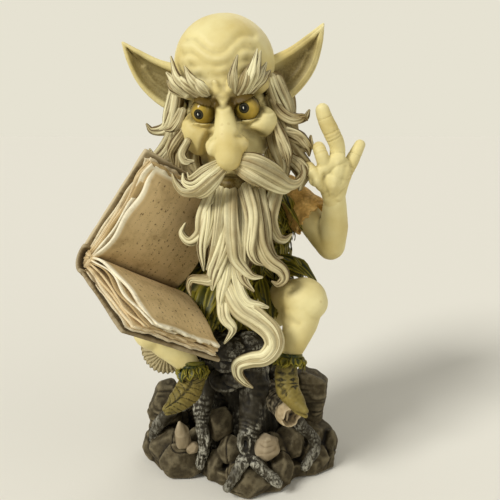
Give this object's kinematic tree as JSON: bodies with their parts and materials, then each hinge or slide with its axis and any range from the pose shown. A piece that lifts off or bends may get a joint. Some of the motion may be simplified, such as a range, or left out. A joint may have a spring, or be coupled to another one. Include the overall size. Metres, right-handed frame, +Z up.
{
  "type": "goblin figurine",
  "caption": "Seated bearded goblin ornament in a leaf tunic, reading an open book on a root stump over rocks, one hand raised.",
  "frame": {"origin": "middle of the base's felt underside, where the figurine stands", "axes": "+Z up, the goblin faces -Y, its raised left hand is on +X"},
  "size_m": [0.1726, 0.158, 0.2989],
  "materials": {
    "felt": "matt",
    "peg": "matt",
    "bark": "painted resin, silver drybrush",
    "rock": "painted resin",
    "stone": "painted resin",
    "fungus": "painted resin",
    "cover": "painted resin",
    "page": "painted resin, brown wash",
    "skin": "painted resin, satin",
    "boot": "painted resin",
    "leaf": "painted resin, yellow drybrush",
    "eye": "gloss varnish",
    "sleeve": "painted resin",
    "hair": "painted resin, brown wash"
  },
  "bodies": {
    "root": {"felt_pad": "felt", "stump_dowel": "peg", "root_stump": "bark", "root_stub": "bark", "rock_base": "rock", "rock_left": "rock", "rock_slab": "rock", "rock_middle": "rock", "pale_stone": "stone", "pointed_stone": "stone", "small_pebble": "stone", "bracket_mushroom": "fungus", "eye_left": "eye", "eye_right": "eye", "head": "skin", "ear_left": "skin", "ear_right": "skin", "brow_left": "hair", "brow_right": "hair", "moustache_left": "hair", "moustache_right": "hair", "hair_left": "hair", "hair_right": "hair", "hair_back": "hair", "hand_left": "skin", "book_peg": "peg", "board_upper": "cover", "pages_upper": "page", "loose_leaf_upper": "page", "board_lower": "cover", "spine": "cover", "pages_lower": "page", "loose_leaf_lower": "page", "neck_dowel": "peg", "leg_left": "skin", "leg_right": "skin", "boot_left": "boot", "boot_right": "boot", "boot_cuff_left": "leaf", "boot_cuff_right": "leaf", "tunic": "leaf", "skirt_left": "leaf", "skirt_right": "leaf", "skirt_back": "leaf", "sleeve_left": "sleeve", "sleeve_right": "sleeve", "arm_left": "skin", "arm_right": "skin", "hand_right": "skin", "collar_left": "leaf", "collar_right": "leaf", "beard": "hair", "beard_tail": "hair"}
  },
  "joints": []
}
